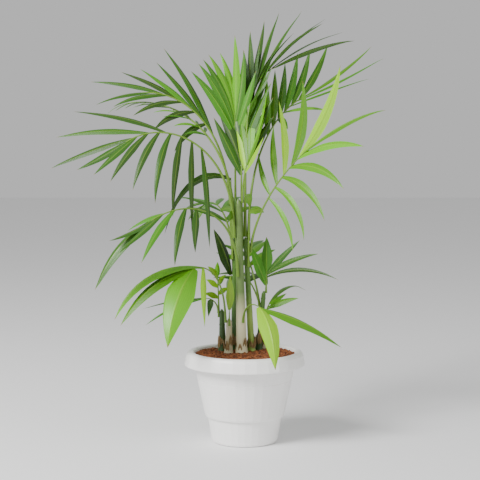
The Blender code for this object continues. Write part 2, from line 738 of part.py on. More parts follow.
def main() -> None:
    """Build the pot, its soil, the canes and the fronds."""
    clear_scene()
    build_pot()
    build_soil()
    canes = {cane.name: cane for cane in CANES}
    for cane in CANES:
        build_cane(cane)
    build_fronds(canes)


main()
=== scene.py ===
"""Looks of a potted areca palm: glossy leaflets, ringed canes, soil and a plain pot.

The fronds follow the same rule as the part's solids, carried finer: every leaflet is a
thin folded blade with its own curve, and every stalk clasps its cane. Metres, +Z up,
with the middle of the pot's flat underside at the origin.
"""

import logging
import math
import random
from dataclasses import dataclass, field
from enum import Enum
from typing import Optional

import bpy
from bpy.types import ID, Material, Node, NodeSocket, NodeTree, Object
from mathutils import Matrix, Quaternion, Vector, noise


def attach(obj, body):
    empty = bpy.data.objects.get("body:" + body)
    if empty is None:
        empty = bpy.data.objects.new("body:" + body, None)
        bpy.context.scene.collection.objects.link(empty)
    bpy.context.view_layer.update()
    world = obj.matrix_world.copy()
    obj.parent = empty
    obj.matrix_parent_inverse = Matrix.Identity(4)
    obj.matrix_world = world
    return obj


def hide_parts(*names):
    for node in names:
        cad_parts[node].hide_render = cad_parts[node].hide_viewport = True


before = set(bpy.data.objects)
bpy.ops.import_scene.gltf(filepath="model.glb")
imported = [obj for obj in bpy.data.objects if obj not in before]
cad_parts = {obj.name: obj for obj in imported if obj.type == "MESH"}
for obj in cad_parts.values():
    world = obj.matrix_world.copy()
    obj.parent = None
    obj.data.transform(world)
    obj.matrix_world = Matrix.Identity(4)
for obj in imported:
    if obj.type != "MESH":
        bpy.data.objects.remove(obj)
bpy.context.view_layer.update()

log = logging.getLogger("palm")

# Clearance between a cane or stalk and what it stands on
GAP = 0.0003

# Sharpest angle between faces that are shaded as one, and the lightness of a tube
SHARP = 62.0
TUBE_TONE = 0.5

# Pot and soil
SOIL_Z = 0.1135
SOIL_R = 0.0645
SOIL_BOTTOM_Z = 0.0700
SOIL_BOTTOM_R = 0.0570
SOIL_RELIEF = 0.0016

# Camera, fitted to the ellipses of the pot's rim and foot, and the height lamps face
CAMERA_AT = (-0.0061, -1.795, 0.411)
CAMERA_PITCH = 85.25
CAMERA_LENS = 105.0
CAMERA_SENSOR = 36.0
LAMPS_FACE = 0.30

# Fronds
RACHIS_STEPS = 48
RIB_THICK_MIN = 0.0013
RIB_THICK_MAX = 0.0022
RIB_THICK_BASE = 0.0012
RIB_THICK_RATE = 0.004
CANE_FLARE = 0.0014
CANE_FLARE_REACH = 0.0060

# Leaflets: outline, nearest they hang to straight down, and how far each strays by
# chance in splay, bend and twist (degrees) and in length (share)
LEAF_STEPS = 12
LEAF_WIDEST = 0.35
LEAF_FOOT = 0.30
LEAF_SWELL = 0.8
LEAF_NARROW = 1.8
LEAF_HANG = 3.0
LEAF_FROM_TIP = 0.002
STRAY_SPLAY = 2.0
STRAY_BEND = 3.0
STRAY_TWIST = 12.0
STRAY_LENGTH = 0.03

TINY = 1e-6
UP = Vector((0.0, 0.0, 1.0))
DOWN = Vector((0.0, 0.0, -1.0))


@dataclass
class Wiring:
    """Short calls that add linked nodes to a tree."""

    tree: NodeTree

    def node(self, kind: str, **values: object) -> Node:
        """Adds a node.

        Args:
            kind: the node's type.
            values: its settings, and inputs as constants or sockets to link.

        Returns:
            The new node.
        """
        made = self.tree.nodes.new(kind)
        for name, value in values.items():
            if name in made.inputs:
                self.feed(made.inputs[name], value)
            else:
                setattr(made, name, value)
        return made

    def feed(self, socket: NodeSocket, value: object) -> None:
        """Links a socket, or sets its constant.

        Args:
            socket: the input to feed.
            value: the socket to link to it, or its constant.
        """
        if isinstance(value, NodeSocket):
            self.tree.links.new(value, socket)
        else:
            socket.default_value = value

    def math(self, operation: str, *values: object) -> NodeSocket:
        """Adds a Math node.

        Args:
            operation: the sum it does.
            values: its inputs in order.

        Returns:
            Its output.
        """
        made = self.node("ShaderNodeMath", operation=operation)
        for socket, value in zip(made.inputs, values):
            self.feed(socket, value)
        return made.outputs[0]

    def mix(self, share: object, first: object, second: object) -> NodeSocket:
        """Adds a colour mix.

        Args:
            share: how much of the second colour.
            first: the first colour.
            second: the second colour.

        Returns:
            The mixed colour.
        """
        made = self.node("ShaderNodeMix", data_type="RGBA", Factor=share)
        self.feed(made.inputs[6], first)
        self.feed(made.inputs[7], second)
        return made.outputs[2]


class Tone(Enum):
    """Named greens that leaflets and stalks are dealt."""

    DEEP = "deep"
    MID = "mid"
    FRESH = "fresh"
    LIME = "lime"
    STALK = "stalk"


@dataclass(frozen=True)
class LeafPattern:
    """Shared colour and relief of a leaf: lightness, side ribs, midrib and dry tip."""

    darkest: float = 0.58
    tone_span: float = 0.80
    rib_waves: float = 44.0
    rib_strength: float = 0.35
    midrib_half: float = 0.09
    vein_color: tuple = (0.30, 0.46, 0.03, 1.0)
    speckle_scale: float = 900.0
    speckle_reach: float = 0.05
    dry_edge: float = 26.0
    dry_color: tuple = (0.22, 0.13, 0.04, 1.0)
    relief_strength: float = 0.25
    relief: float = 0.0006

    def tree(self) -> NodeTree:
        """Node group that reads the blade's own UV map and values.

        Returns:
            The group, with a Color and a Normal output.
        """
        tree = bpy.data.node_groups.new("leaf_pattern", "ShaderNodeTree")
        for name, way, kind in (("Upper", "INPUT", "Color"), ("Under", "INPUT", "Color"),
                                ("Vein", "INPUT", "Float"), ("Browned", "INPUT", "Float"),
                                ("Color", "OUTPUT", "Color"), ("Normal", "OUTPUT", "Vector")):
            tree.interface.new_socket(name, in_out=way, socket_type=f"NodeSocket{kind}")
        wire = Wiring(tree)
        given = tree.nodes.new("NodeGroupInput")
        tone = wire.node("ShaderNodeAttribute", attribute_name="tone").outputs["Fac"]
        under = wire.node("ShaderNodeAttribute", attribute_name="under").outputs["Fac"]
        sides = wire.mix(under, given.outputs["Upper"], given.outputs["Under"])
        light = wire.math("MULTIPLY_ADD", tone, self.tone_span, self.darkest)
        toned = wire.node("ShaderNodeVectorMath", operation="SCALE", Vector=sides,
                          Scale=light)
        blade = wire.node("ShaderNodeUVMap", uv_map="blade")
        split = wire.node("ShaderNodeSeparateXYZ", Vector=blade.outputs["UV"])
        across = split.outputs["Y"]
        ribs = wire.math("SINE", wire.math("MULTIPLY", across, self.rib_waves))
        ribs = wire.math("MULTIPLY_ADD", ribs, 0.5, 0.5)
        midrib = wire.math("LESS_THAN", wire.math("ABSOLUTE", across), self.midrib_half)
        lines = wire.math("MAXIMUM", wire.math("MULTIPLY", ribs, self.rib_strength), midrib)
        veined = wire.mix(wire.math("MULTIPLY", lines, given.outputs["Vein"]),
                          toned.outputs[0], self.vein_color)
        speckle = wire.node("ShaderNodeTexNoise", Scale=self.speckle_scale, Detail=2.0,
                            Vector=wire.node("ShaderNodeTexCoord").outputs["Object"])
        reach = wire.math("MULTIPLY", speckle.outputs["Fac"], self.speckle_reach)
        past = wire.math("SUBTRACT", wire.math("ADD", split.outputs["X"], reach),
                         given.outputs["Browned"])
        dry = wire.node("ShaderNodeClamp", Value=wire.math("MULTIPLY", past, self.dry_edge))
        color = wire.mix(dry.outputs[0], veined, self.dry_color)
        relief = wire.node("ShaderNodeBump", Strength=self.relief_strength,
                           Distance=self.relief, Height=lines)
        out = tree.nodes.new("NodeGroupOutput")
        tree.links.new(color, out.inputs["Color"])
        tree.links.new(relief.outputs["Normal"], out.inputs["Normal"])
        return tree


@dataclass(frozen=True)
class LeafFinish:
    """Waxy finish of a leaf: its upper and lower colours, vein and browned tip."""

    tone: Tone
    upper: tuple
    under: tuple
    roughness: float = 0.38
    vein: float = 0.30
    browned: float = 0.98
    specular: float = 0.45

    def material(self, pattern: NodeTree) -> Material:
        """Material with the shared leaf pattern in front of one Principled shader.

        Args:
            pattern: the leaf pattern's group.

        Returns:
            The finished material.
        """
        material = bpy.data.materials.new(f"leaf_{self.tone.value}")
        material.use_nodes = True
        wire = Wiring(material.node_tree)
        shader = wire.tree.nodes["Principled BSDF"]
        shader.inputs["Roughness"].default_value = self.roughness
        shader.inputs["Specular IOR Level"].default_value = self.specular
        leaf = wire.node("ShaderNodeGroup", node_tree=pattern, Vein=self.vein,
                         Upper=(*self.upper, 1.0), Under=(*self.under, 1.0),
                         Browned=self.browned)
        wire.feed(shader.inputs["Base Color"], leaf.outputs["Color"])
        wire.feed(shader.inputs["Normal"], leaf.outputs["Normal"])
        return material


@dataclass(frozen=True)
class MottledFinish:
    """Finish in two colours mottled by noise, with a grain of its own."""

    name: str
    first: tuple
    second: tuple
    roughness: float
    scale: float = 300.0
    relief: float = 0.0003
    low: Optional[tuple] = None
    low_to: float = 0.0
    low_fade: float = 0.035
    mottle: tuple = (0.35, 0.65)
    detail: float = 4.0
    relief_strength: float = 0.5

    def material(self) -> Material:
        """Material on Object coordinates, with another colour low down where it has one.

        Returns:
            The finished material.
        """
        material = bpy.data.materials.new(self.name)
        material.use_nodes = True
        wire = Wiring(material.node_tree)
        shader = wire.tree.nodes["Principled BSDF"]
        shader.inputs["Roughness"].default_value = self.roughness
        place = wire.node("ShaderNodeTexCoord").outputs["Object"]
        grain = wire.node("ShaderNodeTexNoise", Scale=self.scale, Detail=self.detail,
                          Vector=place)
        share = wire.node("ShaderNodeMapRange", Value=grain.outputs["Fac"])
        share.inputs["From Min"].default_value = self.mottle[0]
        share.inputs["From Max"].default_value = self.mottle[1]
        color = wire.mix(share.outputs[0], (*self.first, 1.0), (*self.second, 1.0))
        if self.low:
            height = wire.node("ShaderNodeSeparateXYZ", Vector=place).outputs["Z"]
            below = wire.node("ShaderNodeMapRange", Value=height)
            below.inputs["From Min"].default_value = self.low_to
            below.inputs["From Max"].default_value = self.low_to + self.low_fade
            color = wire.mix(below.outputs[0], (*self.low, 1.0), color)
        wire.feed(shader.inputs["Base Color"], color)
        bump = wire.node("ShaderNodeBump", Strength=self.relief_strength,
                         Distance=self.relief, Height=grain.outputs["Fac"])
        wire.feed(shader.inputs["Normal"], bump.outputs["Normal"])
        return material


@dataclass(frozen=True)
class Cane:
    """A stem of the clump, from a flat cut on the soil to its tip."""

    name: str
    foot: tuple
    height: float
    lean: float
    towards: float
    foot_radius: float
    tip_radius: float
    color: tuple

    def centre(self, height: float) -> Vector:
        """Middle of the cane at a height above its foot."""
        out = height * math.tan(math.radians(self.lean))
        return Vector((*self.foot, SOIL_Z + GAP + height)) + compass(self.towards) * out

    def radius(self, height: float) -> float:
        """Radius of the cane at a height above its foot, with the flare at its root."""
        taper = blend((self.foot_radius, self.tip_radius), min(1.0, height / self.height))
        return taper + CANE_FLARE * math.exp(-height / CANE_FLARE_REACH)


@dataclass(frozen=True)
class Rank:
    """Leaflets along one side of a rachis; each pair is for the first and the last.

    span is where they stand along the rachis, splay their angle from it, lift their
    angle above the frond's plane, and bend how far they turn down by their tips.
    """

    count: int
    span: tuple
    length: tuple
    splay: tuple
    lift: tuple = (0, 0)
    bend: tuple = (30, 30)
    width: tuple = (0.0095, 0.0095)
    bulge: float = 0.0


@dataclass(frozen=True)
class Frond:
    """One frond: where it leaves its cane, how its rachis arches, and its two ranks.

    heading is a compass angle from +X towards +Y, climb and dip are the rachis's
    slopes at its root and tip, hook is above 1 where it arches late, sweep turns it
    sideways along its length and roll tips its plane.
    """

    name: str
    tone: Tone
    cane: str
    leaves_at: float
    heading: float
    climb: float
    dip: float
    hook: float
    length: float
    sweep: float
    roll: float
    left: Optional[Rank]
    right: Optional[Rank]

    @property
    def thick(self) -> float:
        """Radius of the stalk at its root."""
        wanted = RIB_THICK_BASE + RIB_THICK_RATE * self.length
        return min(RIB_THICK_MAX, max(RIB_THICK_MIN, wanted))

    def along(self, share: float) -> Vector:
        """Direction of the rachis at a share of its length."""
        rise = math.radians(blend((self.climb, self.dip), share ** self.hook))
        return compass(self.heading + self.sweep * share) * math.cos(rise) + UP * math.sin(rise)

    def frame(self, share: float) -> tuple:
        """Frame of the frond.

        Args:
            share: place along it from 0 to 1.

        Returns:
            Its directions along, sideways and upwards there.
        """
        along = self.along(share)
        side = UP.cross(along).normalized()
        roll = Quaternion(along, math.radians(self.roll))
        return along, roll @ side, roll @ along.cross(side)

    def path(self, root: Vector) -> list:
        """Rachis of the frond.

        Args:
            root: where it begins.

        Returns:
            Points along it at even steps.
        """
        points = [root.copy()]
        step = self.length / RACHIS_STEPS
        for index in range(RACHIS_STEPS):
            points.append(points[-1] + self.along((index + 0.5) / RACHIS_STEPS) * step)
        return points


@dataclass(frozen=True)
class Leaflet:
    """One leaflet: its root, the way it sets out, its blade's sideways direction."""

    root: Vector
    out: Vector
    side: Vector
    length: float
    width: float
    bend: float
    twist: float

    def stations(self) -> list:
        """Curve of the leaflet, at even steps along it.

        Returns:
            Its rows of centres, forward directions and sideways directions.
        """
        axis = self.out.cross(DOWN)
        axis = axis.normalized() if axis.length > TINY else Vector((1.0, 0.0, 0.0))
        room = max(0.0, math.degrees(self.out.angle(DOWN)) - LEAF_HANG)
        total = math.radians(min(self.bend, room))
        centre = self.root.copy()
        found = []
        for index in range(LEAF_STEPS + 1):
            share = index / LEAF_STEPS
            turned = Quaternion(axis, total * share)
            along = turned @ self.out
            side = Quaternion(along, math.radians(self.twist * share)) @ (turned @ self.side)
            found.append((centre.copy(), along, side))
            half = Quaternion(axis, total * (share + 0.5 / LEAF_STEPS))
            centre += (half @ self.out) * (self.length / LEAF_STEPS)
        return list(zip(*found))


def compass(degrees: float) -> Vector:
    """Level direction of a heading, counted from +X towards +Y."""
    turn = math.radians(degrees)
    return Vector((math.cos(turn), math.sin(turn), 0.0))


def blend(pair: tuple, share: float) -> float:
    """Value at a share of the way between a first and a last value."""
    return pair[0] + (pair[1] - pair[0]) * share


def vector_at(row: tuple, share: float) -> Vector:
    """Point or direction of a curve that is given at even steps.

    Args:
        row: its points or directions.
        share: place along it from 0 to 1.

    Returns:
        The one there.
    """
    place = min(max(share, 0.0), 1.0) * (len(row) - 1)
    index = min(int(place), len(row) - 2)
    return row[index].lerp(row[index + 1], place - index)


def leaf_width(share: float) -> float:
    """Outline of a leaflet.

    Args:
        share: place along it from 0 to 1.

    Returns:
        Share of its full width there.
    """
    if share < LEAF_WIDEST:
        return LEAF_FOOT + (1.0 - LEAF_FOOT) * (share / LEAF_WIDEST) ** LEAF_SWELL
    past = (share - LEAF_WIDEST) / (1.0 - LEAF_WIDEST)
    return max(0.0, 1.0 - past ** LEAF_NARROW)


def grow_leaflet(frond: Frond, path: list, rank: Rank, side: int, index: int) -> Leaflet:
    """Leaflet of a rank.

    Args:
        frond: the frond it grows on.
        path: points along the frond's rachis.
        rank: the rank it is in.
        side: 1 for the left rank, -1 for the right.
        index: its place in the rank.

    Returns:
        The leaflet.
    """
    share = index / (rank.count - 1) if rank.count > 1 else 0.0
    chance = random.Random(f"{frond.name} {side} {index}")
    place = min(blend(rank.span, share), 1.0 - LEAF_FROM_TIP / frond.length)
    along, sideways, upper = frond.frame(place)
    stray = chance.uniform(-STRAY_SPLAY, STRAY_SPLAY)
    splay = math.radians(blend(rank.splay, share) + stray)
    lift = math.radians(blend(rank.lift, share))
    outward = sideways * (side * math.cos(lift)) + upper * math.sin(lift)
    normal = upper * math.cos(lift) - sideways * (side * math.sin(lift))
    out = (along * math.cos(splay) + outward * math.sin(splay)).normalized()
    length = blend(rank.length, share) + rank.bulge * 4.0 * share * (1.0 - share)
    return Leaflet(root=vector_at(path, place), out=out, side=normal.cross(out),
                   length=length * chance.uniform(1.0 - STRAY_LENGTH, 1.0 + STRAY_LENGTH),
                   width=blend(rank.width, share),
                   bend=blend(rank.bend, share) + chance.uniform(-STRAY_BEND, STRAY_BEND),
                   twist=chance.uniform(-STRAY_TWIST, STRAY_TWIST))


def lone(*values: float) -> Rank:
    """Rank of one leaflet, from its place, length, splay, lift, bend and width."""
    return Rank(1, *((value, value) for value in values))


def root_of(frond: Frond, cane: Cane) -> Vector:
    """Middle of a stalk's root, beside its cane and the gap clear of it."""
    reach = cane.radius(frond.leaves_at) + frond.thick + GAP
    return cane.centre(frond.leaves_at) + compass(frond.heading) * reach


# Canes: foot on the soil, height, lean and its heading, radii at foot and tip
CREAM = (0.72, 0.66, 0.42)
GREEN_CANE = (0.24, 0.36, 0.06)
DARK_CANE = (0.05, 0.12, 0.02)
CANES = (
    Cane("cane_main", (-0.004, 0.012), 0.2, 1.2, 180, 0.0072, 0.0034, CREAM),
    Cane("cane_right", (0.009, 0.022), 0.15, 3.0, 180, 0.0045, 0.003, GREEN_CANE),
    Cane("cane_back", (-0.014, 0.036), 0.2, 0.8, 0, 0.0045, 0.0026, DARK_CANE),
    Cane("shoot_left", (-0.029, 0.026), 0.055, 1.0, 180, 0.005, 0.003, DARK_CANE),
    Cane("shoot_pale", (-0.021, 0.01), 0.045, 1.0, 0, 0.005, 0.0035, CREAM),
    Cane("shoot_right", (0.0185, 0.033), 0.078, 5.0, 0, 0.0042, 0.0028, DARK_CANE),
    Cane("shoot_far", (0.024, 0.046), 0.048, 3.0, 0, 0.0042, 0.0028, CREAM),
)

# Fronds, from the left of the crown round to the right, then low and behind. A row has
# the tone, the cane and the height it leaves at, then heading, climb, dip, hook, length,
# sweep and roll, then its left and right ranks
FRONDS = (
    Frond("left_arch", Tone.DEEP, "cane_main", 0.15, 202, 89, -33, 1.5, 0.233, -9, -26,
          Rank(8, (0.55, 1.0), (0.135, 0.072), (118, 3), (-21, -23), (95, -9), bulge=-0.008),
          Rank(3, (0.77, 0.96), (0.123, 0.109), (26, 18), (19, 14), (21, 14), (0.01, 0.01))),
    Frond("left_crest", Tone.DEEP, "cane_back", 0.15, 171, 89, -7, 2.0, 0.251, 12, -29,
          Rank(5, (0.61, 0.95), (0.072, 0.074), (72, 4), (-9, -3), (48, 25)),
          Rank(5, (0.54, 0.88), (0.136, 0.098), (8, 8), (20, 21), (16, 19), (0.01, 0.008),
               bulge=-0.03)),
    Frond("left_far", Tone.MID, "cane_main", 0.165, 158, 89, -11, 1.35, 0.25, 8, 0,
          Rank(9, (0.5, 0.98), (0.05, 0.034), (60, 20), (0, 0), (40, 36), (0.006, 0.005)),
          Rank(9, (0.52, 0.97), (0.046, 0.032), (64, 24), (6, 0), (34, 30), (0.006, 0.005))),
    Frond("left_mid", Tone.DEEP, "cane_main", 0.1, 248, 89, -33, 1.05, 0.193, -50, -20,
          Rank(5, (0.66, 1.0), (0.062, 0.06), (68, 4), (-26, 0), (70, -20), (0.0105, 0.009),
               bulge=0.03),
          Rank(2, (0.9, 1.0), (0.05, 0.113), (25, 3), (0, 0), (30, 37), (0.012, 0.02))),
    Frond("left_strap", Tone.DEEP, "cane_back", 0.12, 228, 89, 88, 2.0, 0.107, -32, -28,
          lone(0.99, 0.164, 67, -28, 96, 0.01), None),
    Frond("left_broad", Tone.FRESH, "shoot_pale", 0.04, 220, 87, -17, 1.95, 0.108, 5, -18,
          Rank(2, (0.83, 1.0), (0.083, 0.123), (70, 23), (-34, -15), (47, 54), (0.011, 0.036)),
          Rank(2, (0.86, 1.0), (0.143, 0.122), (22, 19), (-9, -2), (81, 55), (0.027, 0.02))),
    Frond("left_low", Tone.DEEP, "shoot_left", 0.05, 203, 89, -12, 1.25, 0.033, -4, 2,
          Rank(2, (0.62, 0.99), (0.049, 0.092), (64, 4), (-10, -5), (52, 29), (0.009, 0.012)),
          Rank(2, (0.84, 0.99), (0.047, 0.081), (37, 20), (0, 13), (54, 17), (0.009, 0.009))),
    Frond("left_tuft", Tone.LIME, "shoot_left", 0.044, 140, 89, 85, 1.1, 0.055, -5, -10,
          Rank(3, (0.46, 0.97), (0.023, 0.02), (59, 33), (0, 0), (20, 26), (0.008, 0.008)),
          Rank(3, (0.55, 0.96), (0.019, 0.021), (61, 5), (1, 6), (19, 42), (0.008, 0.008))),
    Frond("spear", Tone.LIME, "shoot_pale", 0.036, -86, 88, 88, 1.0, 0.023, 0, 0,
          lone(0.99, 0.045, 2, 0, -5, 0.011), None),
    Frond("paddle", Tone.DEEP, "cane_back", 0.076, 144, 89, 88, 1.0, 0.025, 0, 0,
          lone(0.98, 0.072, 22, -2, 17, 0.019), None),
    Frond("right_arch", Tone.FRESH, "cane_right", 0.13, -14, 88, 40, 0.7, 0.159, -15, 46,
          Rank(5, (0.51, 0.92), (0.061, 0.13), (74, 7), (23, 39), (-38, -29), (0.0085, 0.0155)),
          Rank(6, (0.48, 1.0), (0.08, 0.127), (92, 4), (-30, 15), (85, 30), (0.007, 0.0155))),
    Frond("right_far", Tone.MID, "cane_right", 0.145, 49, 89, 25, 1.55, 0.221, -18, 6,
          Rank(6, (0.65, 0.97), (0.078, 0.101), (27, 20), (35, 35), (-31, -24),
               (0.0105, 0.0105), bulge=-0.007),
          Rank(5, (0.77, 1.0), (0.044, 0.129), (100, 3), (21, -10), (37, -17),
               (0.009, 0.008), bulge=0.03)),
    Frond("right_crest", Tone.DEEP, "cane_right", 0.15, 96, 89, 13, 3.9, 0.246, -60, -30,
          Rank(7, (0.64, 0.93), (0.098, 0.161), (14, 3), (24, 13), (8, 19), (0.013, 0.011),
               bulge=0.011),
          Rank(5, (0.6, 0.99), (0.072, 0.127), (12, 17), (30, 21), (37, 24), (0.01, 0.01))),
    Frond("top_fan", Tone.MID, "cane_back", 0.19, 99, 88, 86, 1.5, 0.122, -6, 0,
          Rank(5, (0.74, 0.99), (0.108, 0.086), (26, 3), (23, 24), (26, 30), (0.014, 0.012)),
          Rank(4, (0.66, 0.97), (0.075, 0.105), (30, 3), (24, 25), (-5, -10),
               (0.0125, 0.0115))),
    Frond("top_core", Tone.DEEP, "cane_right", 0.138, 150, 89, 76, 1.4, 0.15, -110, 0,
          Rank(5, (0.62, 0.97), (0.085, 0.122), (26, 5), (8, 12), (4, 12), (0.013, 0.013)),
          Rank(5, (0.66, 0.99), (0.08, 0.118), (30, 4), (10, 12), (4, 14), (0.013, 0.013))),
    Frond("top_inner", Tone.FRESH, "cane_main", 0.195, 24, 89, 65, 1.4, 0.07, 0, 6,
          Rank(4, (0.6, 0.97), (0.06, 0.07), (30, 24), (17, 18), (6, -3), (0.011, 0.011),
               bulge=0.008),
          Rank(4, (0.56, 0.99), (0.06, 0.088), (40, 3), (8, 20), (2, -20), (0.011, 0.011))),
    Frond("right_mid", Tone.DEEP, "shoot_right", 0.075, 46, 89, 84, 1.15, 0.028, 4, 7,
          Rank(2, (0.38, 0.94), (0.054, 0.048), (23, 3), (11, 10), (1, 6), (0.016, 0.016)),
          Rank(3, (0.75, 0.98), (0.113, 0.063), (62, 41), (1, -7), (47, 8), (0.006, 0.009),
               bulge=-0.007)),
    Frond("right_low", Tone.MID, "shoot_far", 0.042, 56, 89, 27, 1.4, 0.02, -4, 4,
          lone(0.9, 0.103, 3, 10, 63, 0.008),
          Rank(2, (0.55, 0.92), (0.046, 0.029), (53, 22), (-3, 0), (20, 10), (0.01, 0.01))),
    Frond("front_broad", Tone.FRESH, "cane_main", 0.04, -71, 89, -26, 0.8, 0.066, 14, 0,
          lone(0.99, 0.112, 52, 0, 27, 0.024), lone(0.92, 0.097, 11, -2, 67, 0.026)),
    Frond("curl_right", Tone.FRESH, "cane_right", 0.112, -70, 89, 86, 1.2, 0.083, 7, 6,
          lone(0.85, 0.024, 55, 0, 71, 0.011), lone(0.96, 0.027, 4, -6, 102, 0.012)),
    Frond("curl_left", Tone.MID, "cane_main", 0.11, 124, 89, 85, 1.25, 0.075, 63, 0,
          lone(0.93, 0.038, 77, -16, 56, 0.011), lone(0.96, 0.05, 65, -17, 53, 0.01)),
    Frond("back_left", Tone.MID, "cane_back", 0.1, 108, 86, -20, 1.3, 0.155, 8, 0,
          Rank(5, (0.48, 0.98), (0.062, 0.055), (52, 8), (15, 10), (35, 25), (0.011, 0.01),
               bulge=0.01),
          Rank(5, (0.5, 0.99), (0.062, 0.055), (52, 8), (15, 10), (35, 25), (0.011, 0.01),
               bulge=0.01)),
    Frond("back_low", Tone.DEEP, "shoot_far", 0.044, 132, 76, -12, 1.1, 0.095, -30, 0,
          Rank(3, (0.55, 0.98), (0.052, 0.062), (50, 10), (10, 5), (40, 30), (0.014, 0.017)),
          Rank(3, (0.58, 0.96), (0.052, 0.06), (50, 12), (10, 5), (40, 30), (0.014, 0.017))),
    Frond("back_right", Tone.MID, "shoot_right", 0.058, 140, 82, 5, 1.2, 0.11, -60, 0,
          Rank(4, (0.5, 0.98), (0.05, 0.058), (50, 8), (12, 5), (30, 25), (0.012, 0.013)),
          Rank(4, (0.53, 0.96), (0.05, 0.058), (50, 10), (12, 5), (30, 25), (0.012, 0.013))),
)


def linked(name: str, data: ID) -> Object:
    """New object in the scene.

    Args:
        name: its name.
        data: its mesh, lamp or camera.

    Returns:
        The object.
    """
    item = bpy.data.objects.new(name, data)
    bpy.context.scene.collection.objects.link(item)
    return item


def report(piece: Object) -> None:
    """Logs a piece's name and how many faces it has."""
    log.info("%s: %d faces", piece.name, len(piece.data.polygons))


@dataclass
class Skin:
    """Mesh under construction, with its blade coordinates, tones and finishes."""

    points: list = field(default_factory=list)
    faces: list = field(default_factory=list)
    blade: list = field(default_factory=list)
    tone: list = field(default_factory=list)
    under: list = field(default_factory=list)
    finish: list = field(default_factory=list)

    def ring(self, points: list, blade: list, tone: float, under: int = 0) -> int:
        """Adds a closed ring of points.

        Args:
            points: the ring's points in order.
            blade: along and across values of each.
            tone: the ring's lightness from 0 to 1.
            under: how many of the last points are on the underside.

        Returns:
            Index of the ring's first point.
        """
        start = len(self.points)
        self.points += points
        self.blade += blade
        self.tone += [tone] * len(points)
        self.under += [0.0] * (len(points) - under) + [1.0] * under
        return start

    def face(self, corners: tuple, finish: int) -> None:
        """Adds a face with the index of its finish."""
        self.faces.append(corners)
        self.finish.append(finish)

    def join(self, before: Optional[int], start: int, sides: int, finish: int) -> None:
        """Joins a ring to the one before it by quads, or closes the first.

        Args:
            before: first point of the ring nearer the root, if there is one.
            start: first point of the ring.
            sides: how many points each has.
            finish: index of the faces' finish.
        """
        if before is None:
            self.face(tuple(reversed(range(start, start + sides))), finish)
            return
        for side in range(sides):
            after = (side + 1) % sides
            self.face((before + side, before + after, start + after, start + side), finish)

    def tube(self, rings: list, spots: list) -> None:
        """Adds a tube that is closed at both ends, in the first finish.

        Args:
            rings: the points of each ring, all of one number.
            spots: the blade coordinates of each ring.
        """
        before = None
        sides = len(rings[0])
        for points, spot in zip(rings, spots):
            start = self.ring(points, [spot] * sides, TUBE_TONE)
            self.join(before, start, sides, 0)
            before = start
        self.face(tuple(range(before, before + sides)), 0)

    def build(self, name: str, materials: list) -> Object:
        """Turns the skin into a smooth object.

        Args:
            name: the object's name.
            materials: its materials, in the order of the finishes.

        Returns:
            The object.
        """
        mesh = bpy.data.meshes.new(name)
        mesh.from_pydata(self.points, [], self.faces)
        for material in materials:
            mesh.materials.append(material)
        mesh.polygons.foreach_set("material_index", self.finish)
        for key, values in (("tone", self.tone), ("under", self.under)):
            mesh.attributes.new(key, "FLOAT", "POINT").data.foreach_set("value", values)
        layer = mesh.uv_layers.new(name="blade")
        for loop, corner in zip(mesh.loops, layer.data):
            corner.uv = self.blade[loop.vertex_index]
        mesh.shade_smooth()
        mesh.set_sharp_from_angle(angle=math.radians(SHARP))
        return linked(name, mesh)


@dataclass(frozen=True)
class BladeShape:
    """How finely and how deeply folded a leaflet's blade is modelled.

    crowding above 1 brings rings to the root, thinning is how much thinner the tip is,
    and fold how far the edges drop for the half width. A broad blade has more strips.
    """

    rings: int = 12
    crowding: float = 1.15
    strips: int = 4
    thickness: float = 0.00045
    thinning: float = 0.5
    fold: float = 0.34
    fold_curve: float = 1.3
    fold_rise: float = 0.35
    pleat_width: float = 0.0045
    pleat_depth: float = 0.0010
    wave: float = 0.010
    wave_least: float = 0.4
    wave_turns: float = 5.0

    def add(self, skin: Skin, leaflet: Leaflet, finish: int, chance: random.Random) -> None:
        """Adds one leaflet, folded along its midrib and pleated where it is broad.

        Args:
            skin: the mesh it goes into.
            leaflet: its root, directions and sizes.
            finish: index of its material.
            chance: the draw of its waviness and tone.
        """
        across = self.strips * max(1, round(0.5 * leaflet.width / self.pleat_width))
        reaches = [1.0 - 2.0 * step / across for step in range(across + 1)]
        tone = chance.random()
        wave = self.wave * leaflet.length * chance.uniform(self.wave_least, 1.0)
        phase = chance.uniform(0.0, math.tau)
        stations = leaflet.stations()
        before = None
        for index in range(self.rings):
            share = (index / self.rings) ** self.crowding
            centre, along, side = (vector_at(row, share) for row in stations)
            shift = wave * math.sin(phase + self.wave_turns * share) * share
            station = (centre + along.cross(side) * shift, along, side)
            start = skin.ring(self.section(station, leaflet.width, share, reaches),
                              [(share, reach) for reach in reaches + reaches[-2:0:-1]],
                              tone, across - 1)
            skin.join(before, start, 2 * across, finish)
            before = start
        tip = skin.ring([stations[0][-1]], [(1.0, 0.0)], tone)
        for side in range(2 * across):
            skin.face((before + side, before + (side + 1) % (2 * across), tip), finish)

    def section(self, station: tuple, width: float, share: float, reaches: list) -> list:
        """Ring of points round the blade.

        Args:
            station: its centre, forward and sideways directions there.
            width: the blade's full width.
            share: place along the blade from 0 to 1.
            reaches: places across its top, from 1 to -1.

        Returns:
            The points of the top from edge to edge, then those of the underside back.
        """
        centre, along, side = station
        upper = along.cross(side)
        half = 0.5 * width * leaf_width(share)
        pleat = self.pleat_depth * leaf_width(share) if len(reaches) > self.strips + 1 else 0.0
        top = []
        for step, reach in enumerate(reaches):
            drop = half * self.fold * (abs(reach) ** self.fold_curve - self.fold_rise)
            top.append(centre + side * (half * reach) - upper * (drop + pleat * (step % 2)))
        thick = self.thickness * (1.0 - self.thinning * share)
        return top + [point - upper * thick for point in reversed(top[1:-1])]


